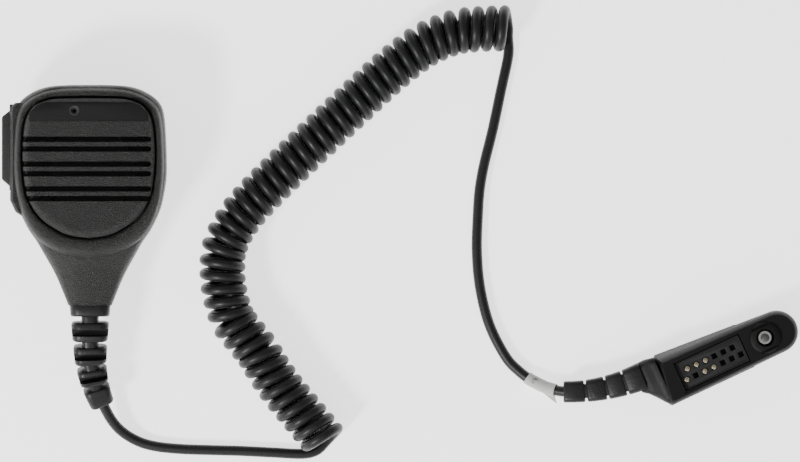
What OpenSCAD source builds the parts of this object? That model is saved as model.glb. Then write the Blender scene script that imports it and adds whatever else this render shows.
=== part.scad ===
// Hand microphone: a remote speaker microphone with a rear swivel clip,
// a curly cord and a multi-contact accessory plug held by a thumbscrew.
// Millimetres. It lies on its clip: +Z is the front of the head, +Y its top.

/* [Head] */
// Width of the head's case, without the push-to-talk paddle
head_w = 57.6; // [50:0.2:70]
// Length of the head's case
head_len = 80.8; // [70:0.2:95]
// Height of the case's back above the floor, which leaves room for the clip
back_z = 9.5; // [9.5:0.1:12]
// Height of the joint between the two case halves
split_z = 20; // [19:0.1:21]
// Height of the front case's bezel
bezel_z = 32.5; // [32:0.1:34]
// Thickness of the case walls
wall = 2; // [1.6:0.1:2.4]

/* [Grille] */
// Height of the grille panel's crown
panel_z = 34.8; // [34.2:0.1:36]
// Height of one slot
slot_h = 1.7; // [1.2:0.1:2]
// Depth of a slot's groove
slot_deep = 1.4; // [0.8:0.1:2]
// Radius of the speaker
speaker_r = 18; // [16:0.5:18]

/* [Push to talk] */
// How far the paddle stands out of the case
ptt_proud = 3.8; // [2.5:0.1:5]
// Travel of the paddle
ptt_travel = 1.2; // [0.6:0.1:1.4]
// Length of the paddle
ptt_len = 29.7; // [24:0.1:30]
// Height of the paddle
ptt_h = 12; // [9:0.1:12.4]

/* [Rear clip] */
// Width of the clip's jaw
jaw_w = 18; // [14:0.5:22]
// Thickness of the jaw's plate
jaw_t = 2; // [1.6:0.1:2.2]
// Radius of the hinge pin
pin_r = 1.1; // [0.8:0.1:1.2]

/* [Cord] */
// Diameter of the cord
cord_d = 4; // [3:0.1:5]
// Outer diameter of the coil
coil_d = 17.5; // [15:0.1:19]
// Length of the head's strain relief
boot_len = 39.5; // [34:0.5:41]

/* [Plug] */
// Width of the plug
plug_w = 16; // [14:0.2:18]
// Height of the plug's contact face above the floor
plug_z = 17.5; // [16.5:0.1:19]
// Length of the plug behind the screw
plug_back_len = 40.7; // [38:0.1:44]
// Spacing of the contacts along a row
contact_pitch = 3.7; // [3.2:0.1:3.8]
// Spacing of the two rows
row_pitch = 3.6; // [3.2:0.1:4]
// Radius of the thumbscrew's shaft
screw_r = 1.5; // [1.2:0.05:1.75]
// Free travel of the captive thumbscrew along its axis
screw_float = 2; // [0.5:0.1:2]

/* [Hidden] */
$fn = 40;
// Running gap between a shaft and its hole
run = 0.08;
// Gap between pieces that move past each other
gap = 0.3;
// How far a screw's thread bites into its boss
bite = 0.05;

// The head's middle line stands right of the origin, because the paddle widens the left side
head_x = ptt_proud / 2;
half = head_w / 2;
end_y = head_len / 2;
// Sections along the head: place, half width, back rise and front drop
sections = [
  [40.4, 8.0, 4.5, 5.0], [40.0, 13.0, 3.0, 3.4], [39.0, 17.0, 1.8, 2.2],
  [37.4, 20.6, 1.0, 1.5], [35.0, 24.0, 0.5, 1.1], [32.0, 26.4, 0.1, 1.0],
  [28.0, 27.5, 0, 1.0], [22.0, 28.1, 0, 1.0], [14.0, 28.4, 0, 1.0],
  [6.0, 28.3, 0, 1.0], [-2.7, 26.9, 0, 1.0], [-8.0, 25.0, 0, 1.0],
  [-13.0, 22.4, 0, 1.1], [-17.0, 19.6, 0.1, 1.5], [-21.0, 17.3, 0.3, 2.4],
  [-27.0, 13.9, 0.7, 4.2], [-31.0, 11.9, 1.0, 5.2], [-35.0, 10.2, 1.4, 6.2],
  [-40.4, 8.0, 2.0, 7.5]];
// Scale of the sections when the head's width or length is changed
kx = half / 28.8;
ky = end_y / 40.4;

neck_z = 18.25;
slot_rows = [20.6, 17.0, 11.5, 7.9, 2.4, -1.2];
speaker_y = 9;
mic_x = -5.2;
mic_y = 31;
seat_z = bezel_z - 3;
case_screw_at = [[21, 32.5], [-21, 32.5], [15, -15], [-15, -15]];
board_screw_at = [[18, 27], [-18, 27], [16, -7], [-16, -7]];
board_z = 14;
board_t = 1.6;
// Middle of the paddle along the side
ptt_y = 17.65;
ptt_z = 20;
swivel_y = 12;
hinge_y = 20;
hinge_z = 3.9;
barrel_r = 2.4;
base_z = 6.6;
base_r = 12;

mean_r = (coil_d - cord_d) / 2;
coil_z = coil_d / 2;
cord_r = cord_d / 2;
boot_straight = 17.5;
boot_yaw = 24;
boot_pitch = [4, 28];

// The head's end of the strain relief, and steps of one millimetre along its bend
function boot_yaw_at(s) = boot_yaw * max(0, s - boot_straight) / (boot_len - boot_straight);
boot_collar = 5;
function boot_pitch_at(s) = s < boot_collar ? 0
  : boot_pitch[0] + (boot_pitch[1] - boot_pitch[0]) * (s - boot_collar) / (boot_len - boot_collar);
function boot_dir(s) = [
  sin(boot_yaw_at(s)) * cos(boot_pitch_at(s)),
  -cos(boot_yaw_at(s)) * cos(boot_pitch_at(s)),
  -sin(boot_pitch_at(s))];
boot_steps = 79;
boot_path = [
  for (i = 0, p = [head_x, -end_y, neck_z]; i <= boot_steps;
       p = p + boot_dir((i + 0.5) * boot_len / boot_steps) * boot_len / boot_steps, i = i + 1) p];
function boot_at(s) = boot_path[round(s / boot_len * boot_steps)];
boot_end = boot_path[boot_steps];

// The cord's route, laid on the floor: head to coil, the coil's middle line, coil to plug
lead_head_route = [
  boot_end, [9.4, -84, 6], [13.4, -88.6, 3.8], [19.3, -92.2, 2.3], [25.8, -94.1, 2],
  [35.2, -95.1, 2], [46.3, -95.5, 2], [57.4, -95.8, 2], [69.6, -96.4, 2], [81, -96.9, 2],
  [86.4, -95.5, 2]];
coil_route = [
  [89.6, -92.2], [85.9, -87.7], [79.4, -80], [73.6, -72.9], [68.3, -65.3], [64.1, -58.4],
  [58.5, -51.5], [54.6, -46.0], [51.9, -36.8], [51, -28.6], [51.7, -19.7], [55.8, -10.8],
  [62.2, -2.6], [72, 7.4], [85.1, 20], [98.2, 32.3], [111.9, 44.9], [122.6, 53.5],
  [129.8, 57.8], [138.8, 61.1], [147.3, 62.1], [157.9, 62.4]];
lead_plug_route = [
  [157.5, 59, 2], [158.1, 52.5, 2], [155.3, 39.6, 2], [152.1, 24.4, 2], [149, 11.9, 2],
  [147.3, 2.5, 2], [146.6, -6.8, 2], [146.2, -20.7, 2], [147.4, -34.5, 2], [150.9, -48.5, 2],
  [157, -60.5, 2], [162, -65.9, 2], [166.6, -69.3, 2.4], [171.8, -71.9, 3.2],
  [176, -73.1, 4.4], [179.8, -73.6, 6]];
label_from = [166.6, -69.3, 2.4];
label_mid = [171.8, -71.9, 3.2];
label_to = [176, -73.1, 4.4];

// The plug: place of its screw, and the turn of its long side
plug_at = [253.6, -53.2];
plug_turn = 25;
plug_end_r = plug_w / 2;
plug_end_u = 5;
cover_z = 6;
step_u = -8;
boss_z = plug_z + 1;
boss_r = 6;
well_r = 3.2;
well_floor = 13.5;
shank_r = screw_r + 0.3;
groove_r = screw_r - 0.3;
ring_z = well_floor + gap;
ring_t = 0.6;
field_u = -21.9;
carrier_z = plug_z - 1.5;
carrier_len = 26.4;
carrier_w = 11;
knob_h = 7;
knob_r = 6;
housing_under = knob_h + screw_float + gap;
neck_v = 3.2;
neck_r = 5.1;
neck_z_plug = cover_z + 2.6;
plug_boot_from = [179.8, -73.6, 6];

// ---- shared shapes ----

// Closed skin over rings that have the same number of points
module skin(rings) {
  n = len(rings[0]);
  m = len(rings);
  points = [for (ring = rings) for (p = ring) p];
  sides = [for (i = [0:m - 2]) for (j = [0:n - 1])
    [i * n + j, (i + 1) * n + j, (i + 1) * n + (j + 1) % n, i * n + (j + 1) % n]];
  start = [for (j = [0:n - 1]) j];
  finish = [for (j = [n - 1:-1:0]) (m - 1) * n + j];
  polyhedron(points, concat([start], sides, [finish]), convexity = 6);
}

function unit(v) = v / norm(v);
function flat(p, z) = [p[0], p[1], z];
// Direction of a route at one of its points
function along(route, i) =
  unit(route[min(i + 1, len(route) - 1)] - route[max(i - 1, 0)]);

// Round tube along a route
module tube(route, r, sides) {
  skin([for (i = [0:len(route) - 1])
    let (d = along(route, i), side = unit(cross(d, [0, 0, 1])), up = cross(side, d))
    [for (j = [0:sides - 1])
      let (a = -360 * (j + 0.5) / sides)
      route[i] + r / cos(180 / sides) * (cos(a) * side + sin(a) * up)]]);
}

// A slab's outline with rounded corners
module rounded(w, h, r) {
  hull() for (x = [-1, 1]) for (y = [-1, 1])
    translate([x * (w / 2 - r), y * (h / 2 - r)]) circle(r, $fn = 24);
}

// Screw that points up, with its head's underside at z = 0
module screw_up(r, head_r, head_h, length) {
  translate([0, 0, -head_h]) cylinder(r = head_r, h = head_h);
  cylinder(r = r, h = length);
}

// ---- head case ----

// Corner of a section: quarter turn of radius r round c
function corner(c, r, from, y) = [for (a = [0:22.5:90])
  [c[0] + r * cos(from - a), y, c[1] + r * sin(from - a)]];

// One section of the case, shrunk by an inset
function section(s, inset) =
  let (w = s[1] * kx - inset, z0 = back_z + s[2] + inset, z1 = bezel_z - s[3] - inset,
       r = max(0.8, min(4.5 - inset, (z1 - z0) / 2 - 0.2, w - 0.2)), y = s[0] * ky)
  concat(corner([w - r, z1 - r], r, 90, y), corner([w - r, z0 + r], r, 0, y),
         corner([r - w, z0 + r], r, -90, y), corner([r - w, z1 - r], r, 180, y));

module case_body() {
  skin([for (i = [len(sections) - 1:-1:0]) section(sections[i], 0)]);
  translate([0, 0, ptt_z - side_h / 2]) linear_extrude(side_h) side_outline();
}

// Low swelling on the left side that carries the paddle's opening
side_h = 17.4;
side_x = half + 0.7;
module side_outline() {
  polygon([[-side_x + 4.5, -8], [-side_x + 1.7, -6.2], [-side_x, -2], [-side_x, frame_y1 - 1.1],
    [-side_x + 2, frame_y1 + 0.6], [-side_x + 5.5, frame_y1 + 0.6]]);
}

// Inside of the case: the same sections, shrunk by the wall
module case_hollow() {
  keep = [for (s = sections) if (s[0] < 38.5 && s[0] > -38.5) s];
  first = [38.4, 17.6, 1.4, 1.9];
  last = [-38.4, 9.2, 1.8, 7.0];
  inner = concat([first], keep, [last]);
  skin([for (i = [len(inner) - 1:-1:0]) section(inner[i], wall)]);
}

// Outline of the case, shrunk by an inset
module case_outline(inset) {
  right = [for (s = sections) [s[1] * kx - inset, s[0] * ky - inset * sign(s[0]) * (abs(s[0]) > 36 ? 1 : 0)]];
  left = [for (i = [len(right) - 1:-1:0]) [-right[i][0], right[i][1]]];
  polygon(concat(right, left));
}

// Outline of the bezel, half of it
bezel_half = [[0, 39.2], [17, 37.6], [23.5, 33.4], [26.4, 28], [27.2, 14], [26.6, 2], [24.6, -6],
  [21.5, -13], [16.8, -18], [9, -21.7], [0, -22.9]];
// Outline of the grille panel, half of it
panel_half = [[0, 36.5], [13, 36.3], [16.8, 35.9], [21.9, 32.1], [24, 25], [24.5, 12], [23, 0],
  [20.6, -5], [17, -9], [8.5, -14.2], [0, -16.1]];

// Both halves of an outline, pulled in towards its middle by an inset
module both(half_points, inset) {
  mid = [0, 10];
  pulled = [for (p = half_points) p - inset * unit([p[0], (p[1] - mid[1]) * 0.9])];
  mirrored = [for (i = [len(pulled) - 2:-1:1]) [-pulled[i][0], pulled[i][1]]];
  polygon([for (p = concat(pulled, mirrored)) [p[0] * kx, p[1] * ky]]);
}

module at_head() {
  translate([head_x, 0, 0]) children();
}

// Opening in the case for the paddle's frame, and room behind it
module ptt_opening() {
  depth = 6.1;
  translate([-half - 2, ptt_y - ptt_len / 2 - 1.5, ptt_z - ptt_h / 2 - 1.5])
    cube([depth + 0.2, ptt_len + 3, ptt_h + 3]);
  translate([-half + 2.1, ptt_y - 14, ptt_z - 7.6]) cube([5, 24.5, 15.1]);
}

module neck_bore() {
  translate([0, -end_y - 1, neck_z]) rotate([-90, 0, 0]) cylinder(r = 5, h = wall + 3);
}

module gasket_ring(outer, inner, z0, z1) {
  difference() {
    translate([0, 0, z0]) linear_extrude(z1 - z0) difference() {
      case_outline(outer);
      case_outline(inner);
    }
    ptt_opening();
    neck_bore();
    translate([-7, -end_y - 1, z0 - 1]) cube([14, 4.5, 4]);
  }
}

module rear_shell() {
  color("#26262a") at_head() difference() {
    union() {
      difference() {
        intersection() {
          case_body();
          translate([-50, -60, 0]) cube([100, 120, split_z]);
        }
        case_hollow();
      }
      for (p = case_screw_at)
        translate([p[0], p[1], back_z + 1]) cylinder(r = 3, h = split_z - back_z - 1);
      for (p = board_screw_at)
        translate([p[0], p[1], back_z + 1]) cylinder(r = 2.2, h = board_z - back_z - 1);
      translate([0, swivel_y, back_z + 1]) cylinder(r = 4, h = 3.1);
      translate([-8, -33.5, back_z + 1.5]) cube([16, 4, neck_z - cord_r + 0.4 - back_z - 1.5]);
    }
    for (p = case_screw_at) translate([p[0], p[1], 0]) {
      cylinder(r = 1.15, h = 40);
      cylinder(r = 2.1, h = back_z + 1.9);
    }
    for (p = board_screw_at)
      translate([p[0], p[1], back_z + 1.9]) cylinder(r = 0.8 - bite, h = 10);
    translate([0, swivel_y, 0]) cylinder(r = 1.5 - bite, h = 20);
    for (x = [-5, 5]) translate([x, -31.5, 13]) cylinder(r = 0.8 - bite, h = 10);
    translate([0, -34, neck_z]) rotate([-90, 0, 0]) cylinder(r = cord_r, h = 6);
    ptt_opening();
    neck_bore();
    gasket_groove();
  }
}

module gasket_groove() {
  gasket_ring(0.55, 1.55, split_z - 0.45, split_z + 0.45);
}

module shell_gasket() {
  color("#101010") at_head() gasket_ring(0.6, 1.5, split_z - 0.4, split_z + 0.4);
}

module front_shell() {
  color("#2b2b30") at_head() difference() {
    union() {
      difference() {
        union() {
          intersection() {
            case_body();
            translate([-50, -60, split_z]) cube([100, 120, 40]);
          }
          translate([0, 0, bezel_z - 4]) linear_extrude(4) both(bezel_half, 0);
        }
        intersection() {
          case_hollow();
          translate([-50, -60, 0]) cube([100, 120, seat_z - 1.8]);
        }
      }
      for (p = case_screw_at)
        translate([p[0], p[1], split_z]) cylinder(r = 3, h = seat_z - split_z - 1);
    }
    translate([0, 0, seat_z]) linear_extrude(10) both(panel_half, -0.4);
    translate([0, speaker_y, split_z]) cylinder(r = speaker_r - 1.5, h = 20);
    translate([mic_x, mic_y, split_z]) cylinder(r = 2.2, h = 20);
    for (p = case_screw_at) translate([p[0], p[1], split_z - 1]) cylinder(r = 1 - bite, h = 6);
    ptt_opening();
    neck_bore();
    gasket_groove();
  }
}

module case_screws() {
  color("#8a8d90") at_head() for (p = case_screw_at)
    translate([p[0], p[1], back_z + 1.9]) screw_up(1, 1.9, 1.6, 13);
}

// ---- front panel ----

// Outline of the label window
module window_outline(inset) {
  polygon([[-22 + inset, 27.4 + inset], [22 - inset, 27.4 + inset], [22 - inset, 30.5],
    [19.5 - inset, 33.2], [16.5 - inset, 34.4 - inset], [inset - 16.5, 34.4 - inset],
    [inset - 19.5, 33.2], [inset - 22, 30.5]]);
}

module grille_panel() {
  color("#232327") at_head() difference() {
    union() {
      translate([0, 0, seat_z]) linear_extrude(panel_z - 1.6 - seat_z) both(panel_half, 0);
      translate([0, 0, panel_z - 1.7]) linear_extrude(1.1) both(panel_half, 0.9);
      translate([0, 0, panel_z - 0.7]) linear_extrude(0.7) both(panel_half, 2.2);
    }
    for (y = slot_rows) {
      translate([-24.2 * kx, y - slot_h / 2, panel_z - slot_deep])
        cube([47.2 * kx, slot_h, slot_deep + 1]);
      reach = sqrt(max(1, pow(speaker_r - 2.5, 2) - pow(abs(y - speaker_y) + slot_h / 2, 2)));
      for (side = [-1, 1]) translate([side > 0 ? 1 : -reach, y - slot_h / 2, seat_z - 1])
        cube([reach - 1, slot_h, 10]);
    }
    translate([0, 0, panel_z - 0.9]) linear_extrude(2) window_outline(-0.1);
    translate([mic_x, mic_y, seat_z - 1]) cylinder(r = 1.5, h = 10);
  }
}

module label_window() {
  color("#1a1a1d") at_head() difference() {
    translate([0, 0, panel_z - 0.9]) linear_extrude(0.8) window_outline(0);
    translate([mic_x, mic_y, seat_z]) cylinder(r = 1.9, h = 10);
  }
}

module mic_port() {
  color("#101012") at_head() translate([mic_x, mic_y, panel_z]) rotate_extrude()
    polygon([[0.5, -3.4], [1.45, -3.4], [1.45, -0.9], [1.85, -0.9], [1.85, -0.15], [1.5, -0.15],
      [0.5, -1.6]]);
}

// ---- speaker ----

module speaker_ring(r_in, r_out, z, h) {
  at_head() translate([0, speaker_y, z]) difference() {
    cylinder(r = r_out, h = h);
    translate([0, 0, -1]) cylinder(r = r_in, h = h + 2);
  }
}

module dust_mesh() {
  color("#141414") at_head() translate([0, speaker_y, seat_z - 0.4])
    cylinder(r = speaker_r - 1.6, h = 0.4);
}

module speaker_gasket() {
  color("#202020") speaker_ring(speaker_r - 1.4, speaker_r, seat_z - 2.4, 0.6);
}

module speaker_frame() {
  color("#9a9da0") at_head() translate([0, speaker_y, seat_z - 3.6]) rotate_extrude()
    polygon([[speaker_r - 1.6, 1.2], [speaker_r, 1.2], [speaker_r, 0], [speaker_r - 2, -0.4],
      [10, -5.6], [0, -5.6], [0, -4.8], [9.6, -4.8], [speaker_r - 2.4, 0.4]]);
}

module speaker_magnet() {
  color("#6f7276") at_head() translate([0, speaker_y, seat_z - 3.6 - 5.6 - 3.4])
    cylinder(r = 9, h = 3.4);
}

module speaker_cone() {
  color("#1c1c1c") at_head() translate([0, speaker_y, seat_z - 3.6]) rotate_extrude()
    polygon([[speaker_r - 1.75, 1.15], [speaker_r - 3, 1.15], [6, -3.6], [3, -2.6], [0, -2.2],
      [0, -2.6], [3, -3], [6, -4.1], [speaker_r - 2.75, 0.45], [speaker_r - 2.45, 0.45]]);
}

module speaker_wires() {
  color("#b02020") at_head() for (x = [-2, 2])
    tube([[x, speaker_y - 9.3, 18.6], [x * 1.4, speaker_y - 12.5, 18], [x * 1.8, speaker_y - 14.5, 16.6],
      [x * 2, speaker_y - 15, board_z + board_t]], 0.5, 6);
}

// ---- circuit ----

module circuit_board() {
  color("#1f5c3a") at_head() difference() {
    translate([0, 0, board_z]) linear_extrude(board_t)
      polygon([[-19, 35], [19, 35], [22.5, 31], [22.5, -3], [17, -13], [11, -24], [-11, -24],
        [-17, -13], [-22.5, -3], [-22.5, 31]]);
    for (p = case_screw_at) translate([p[0], p[1], board_z - 1]) cylinder(r = 3.3, h = 4);
    for (p = board_screw_at) translate([p[0], p[1], board_z - 1]) cylinder(r = 0.9, h = 4);
  }
}

module board_screws() {
  color("#8a8d90") at_head() for (p = board_screw_at)
    translate([p[0], p[1], board_z + board_t]) mirror([0, 0, 1]) screw_up(0.8, 1.5, 1.1, 3.6);
}

module mic_capsule() {
  color("#b8bbbe") at_head() translate([mic_x, mic_y, seat_z - 6]) cylinder(r = 2, h = 2.2);
}

module mic_holder() {
  color("#161616") at_head() translate([mic_x, mic_y, seat_z - 6.6]) difference() {
    cylinder(r = 2.9, h = 4.8);
    translate([0, 0, 0.6]) cylinder(r = 2, h = 2.2);
    translate([0, 0, 2]) cylinder(r = 1, h = 4);
  }
}

// ---- push to talk ----

frame_y0 = ptt_y - ptt_len / 2 - 1.2;
frame_y1 = ptt_y + ptt_len / 2 + 1.2;
frame_wall = 0.8;

module ptt_frame() {
  color("#3a3a40") at_head() difference() {
    translate([0, 0, ptt_z - ptt_h / 2 - 1.1]) linear_extrude(ptt_h + 2.2)
      polygon([[-half - 0.9, frame_y0], [-half - 1.1, 14], [-half - 1, 24], [-half - 0.8, frame_y1],
        [-half + 2.1, frame_y1], [-half + 2.1, frame_y0]]);
    translate([-half - 4, frame_y0 + frame_wall, ptt_z - ptt_h / 2 - 0.3])
      cube([9, frame_y1 - frame_y0 - 2 * frame_wall, ptt_h + 0.6]);
  }
}

module ptt_gasket() {
  color("#0c0c0c") at_head() translate([-half + 0.8, 0, 0]) difference() {
    translate([0, ptt_y - ptt_len / 2 - 1.45, ptt_z - ptt_h / 2 - 1.45])
      cube([1, ptt_len + 2.9, ptt_h + 2.9]);
    translate([-1, frame_y0 - 0.05, ptt_z - ptt_h / 2 - 1.15])
      cube([3, frame_y1 - frame_y0 + 0.1, ptt_h + 2.3]);
  }
}

module ptt_paddle() {
  color("#1c1c1f") at_head() translate([0, 0, ptt_z - ptt_h / 2]) linear_extrude(ptt_h)
    polygon([[-half - ptt_proud, ptt_y - ptt_len / 2 + 3], [-half - ptt_proud, ptt_y + ptt_len / 2 - 3.4],
      [-half + 0.6, ptt_y + ptt_len / 2], [-half + 2.4, ptt_y + ptt_len / 2],
      [-half + 2.4, ptt_y - ptt_len / 2], [-half - 0.4, ptt_y - ptt_len / 2]]);
}

module ptt_carrier() {
  color("#4a4a50") at_head() translate([-half + 2.4, ptt_y - 13.5, ptt_z - 7.2])
    cube([1.2, 23.5, 14.3]);
}

module ptt_plunger() {
  color("#d8d4c8") at_head() translate([-half + 3.6, ptt_y, 19]) rotate([0, 90, 0])
    cylinder(r = 1.2, h = 3.6);
}

module ptt_switch() {
  color("#101012") at_head() translate([-half + 6.2, ptt_y - 3, board_z + board_t]) difference() {
    cube([4, 6, 6.2]);
    translate([-1, 3, 19 - board_z - board_t]) rotate([0, 90, 0]) cylinder(r = 1.2 + run, h = 3.7);
  }
}

// ---- rear clip ----

module at_swivel() {
  translate([head_x, swivel_y, 0]) children();
}

module clip_base() {
  color("#1d1d20") difference() {
    union() {
      at_swivel() translate([0, 0, base_z]) cylinder(r = base_r, h = back_z - gap - base_z, $fn = 64);
      for (side = [-1, 1]) translate([head_x + side * 9 - 1, hinge_y, hinge_z]) {
        rotate([0, 90, 0]) cylinder(r = barrel_r, h = 2);
        translate([0, -barrel_r, 0]) cube([2, 2 * barrel_r, back_z - gap - hinge_z]);
      }
    }
    at_swivel() cylinder(r = 1.5 + run, h = 20);
    at_swivel() translate([0, 0, back_z - 0.9]) cylinder(r = 5.8, h = 4);
    translate([head_x - 12, hinge_y, hinge_z]) rotate([0, 90, 0]) cylinder(r = pin_r - bite, h = 24);
  }
}

module clip_screw() {
  color("#9a9da0") at_swivel() translate([0, 0, base_z - 0.1]) difference() {
    screw_up(1.5, 2.9, 1.5, 6.4);
    translate([-0.4, -2, -2]) cube([0.8, 4, 1.2]);
  }
}

module clip_washer() {
  color("#b0b3b6") at_swivel() translate([0, 0, back_z - 0.8]) difference() {
    cylinder(r = 5.4, h = 0.8);
    translate([0, 0, -1]) cylinder(r = 2, h = 3);
  }
}

// Side view of the jaw: plate with a raised lip at the lower end and a finger tab
module clip_jaw() {
  tip_y = -20;
  wide_to = hinge_y - barrel_r - 3.6;
  color("#1d1d20") translate([head_x, 0, 0]) difference() {
    union() {
      translate([-jaw_w / 2, 0, 0]) rotate([90, 0, 90]) linear_extrude(jaw_w)
        polygon([[tip_y, 0.6], [tip_y + 1, 0], [wide_to, 0], [wide_to, jaw_t], [tip_y + 5, jaw_t],
          [tip_y + 3, back_z - 2.5], [tip_y + 2.6, back_z - gap], [tip_y + 1, back_z - gap],
          [tip_y, back_z - 2]]);
      translate([-7.7, wide_to - 1, 0]) cube([15.4, hinge_y + 10 - wide_to, jaw_t]);
      for (x = [-7.7, 4]) translate([x, hinge_y, hinge_z]) {
        rotate([0, 90, 0]) cylinder(r = barrel_r, h = 3.7);
        translate([0, -1.8, jaw_t - 0.5 - hinge_z]) cube([3.7, 3.6, hinge_z - jaw_t + 0.5]);
      }
    }
    translate([-12, hinge_y, hinge_z]) rotate([0, 90, 0]) cylinder(r = pin_r + run, h = 24);
  }
}

module clip_pin() {
  color("#c0c2c4") translate([head_x - 10, hinge_y, hinge_z]) rotate([0, 90, 0])
    cylinder(r = pin_r, h = 20);
}

module clip_spring() {
  color("#d0d2d4") translate([head_x, hinge_y, hinge_z]) {
    translate([-3.4, 0, 0]) rotate([0, 90, 0]) difference() {
      cylinder(r = 1.8, h = 6.8);
      translate([0, 0, -1]) cylinder(r = pin_r + 0.15, h = 9);
    }
    translate([-3.4, 1.2, -1.5]) cube([0.6, 5, 0.6]);
    translate([2.8, 1.2, 1.1]) cube([0.6, 4.4, 0.6]);
  }
}

// ---- strain relief and cord end in the head ----

// One block of the strain relief between two places along it
module boot_block(s0, s1, w, t) {
  s = (s0 + s1) / 2;
  translate(boot_at(s)) rotate([0, 0, boot_yaw_at(s)]) rotate([boot_pitch_at(s), 0, 0])
    translate([0, (s1 - s0) / 2, 0]) rotate([90, 0, 0]) linear_extrude(s1 - s0) rounded(w, t, t * 0.3);
}

boot_w = 15;
boot_end_w = 9;
boot_thin = 0.82;
function boot_w_at(s) = boot_w + (boot_end_w - boot_w) * s / boot_len;

module head_boot() {
  blocks = [[0.2, 4.6], [7, 13.8], [16, 22.4], [24.6, 30.4], [32.4, 39.5]];
  color("#1b1b1e") difference() {
    union() {
      for (b = blocks) boot_block(b[0], b[1], boot_w_at(b[0]), boot_w_at(b[0]) * boot_thin);
      tube([for (s = [0:4:boot_len]) boot_at(s)], 3.2, 12);
      translate([head_x, -end_y + wall + 0.1, neck_z]) rotate([90, 0, 0]) cylinder(r = 4.9, h = wall + 1);
      translate([head_x, -end_y + wall + 1.4, neck_z]) rotate([90, 0, 0]) cylinder(r = 4.6, h = 1.35);
    }
    for (b = [for (i = [1:3]) blocks[i]]) let (s = (b[0] + b[1]) / 2, w = boot_w_at(s))
      for (side = [-1, 1]) translate(boot_at(s)) rotate([0, 0, boot_yaw_at(s)])
        rotate([boot_pitch_at(s), 0, 0]) translate([0, 0, side * w * 0.4]) cube([w * 0.7, 2.2, 2.2], center = true);
  }
}

module cord_tail() {
  color("#161616") at_head() translate([0, -36.9, neck_z]) rotate([-90, 0, 0]) cylinder(r = cord_r, h = 10);
}

module cord_clamp() {
  color("#9a9da0") at_head() difference() {
    translate([-7, -33, neck_z - cord_r + 0.5]) cube([14, 3, cord_d + 0.7]);
    translate([0, -34, neck_z]) rotate([-90, 0, 0]) cylinder(r = cord_r, h = 6);
    translate([-2, -34, neck_z - 3]) cube([4, 6, 3]);
    for (x = [-5, 5]) translate([x, -31.5, 10]) cylinder(r = 0.9, h = 20);
  }
}

module clamp_screws() {
  color("#8a8d90") at_head() for (x = [-5, 5])
    translate([x, -31.5, neck_z + cord_r + 1.2]) mirror([0, 0, 1]) screw_up(0.8, 1.4, 1, 8);
}

module cord_wires() {
  color("#c8a020") at_head() for (i = [-1.5:1:1.5])
    tube([[i * 0.9, -26.88, neck_z], [i * 0.9, -26.4, neck_z], [i * 1.8, -24.6, neck_z - 0.6], [i * 2.6, -22.6, neck_z - 1.6],
      [i * 3, -21.8, board_z + board_t]], 0.4, 6);
}

// ---- cord ----

module cord_lead_head() {
  color("#151515") tube(lead_head_route, cord_r, 8);
}

module cord_coil() {
  color("#181818") tube([for (p = coil_route) flat(p, coil_z)], coil_d / 2 * cos(15), 12);
}

module cord_lead_plug() {
  color("#151515") tube(lead_plug_route, cord_r, 8);
}

module cord_label() {
  label_t = 0.3;
  color("#e4e4e0") difference() {
    tube([label_from, label_mid, label_to], cord_r + label_t, 12);
    tube([label_from * 1.01 - label_mid * 0.01 - unit(label_mid - label_from),
      label_from, label_mid, label_to, label_to + unit(label_to - label_mid)], cord_r, 8);
  }
}

// ---- plug ----

module at_plug() {
  translate([plug_at[0], plug_at[1], 0]) rotate([0, 0, plug_turn]) children();
}

plug_boot_turn = [0, 22];
plug_boot_len = 26.5;
function plug_turn_at(s) = plug_boot_turn[0] + (plug_boot_turn[1] - plug_boot_turn[0]) * s / plug_boot_len;
plug_boot_path = [
  for (i = 0, p = plug_boot_from; i <= 53;
       p = p + [cos(plug_turn_at(i / 2)), sin(plug_turn_at(i / 2)), 0.098] / 2, i = i + 1) p];
function plug_boot_at(s) = plug_boot_path[round(2 * s)];

module plug_boot() {
  color("#1b1b1e") {
    for (b = [[0, 6.5, 8], [8.5, 14.5, 9.2], [16.5, 22.5, 10.3], [24.4, 28, 11]]) {
      s = min(26.5, (b[0] + b[1]) / 2);
      translate(plug_boot_at(s)) rotate([0, 0, plug_turn_at(s)]) rotate([90, 0, 90])
        translate([0, 0, -(b[1] - b[0]) / 2]) linear_extrude(b[1] - b[0]) rounded(b[2], b[2], b[2] * 0.3);
    }
    tube(concat([for (s = [0:5:25]) plug_boot_at(s)], [plug_boot_at(26.5)]), 2.9, 12);
  }
}

// Outline of the plug: straight sides, round nose
module plug_outline(inset, from_u, to_nose) {
  w = plug_end_r - inset;
  translate([from_u, -w]) square([plug_end_u - from_u, 2 * w]);
  if (to_nose) translate([plug_end_u, 0]) intersection() {
    circle(w, $fn = 64);
    translate([0, -w - 1]) square([w + 1, 2 * w + 2]);
  }
}

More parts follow.
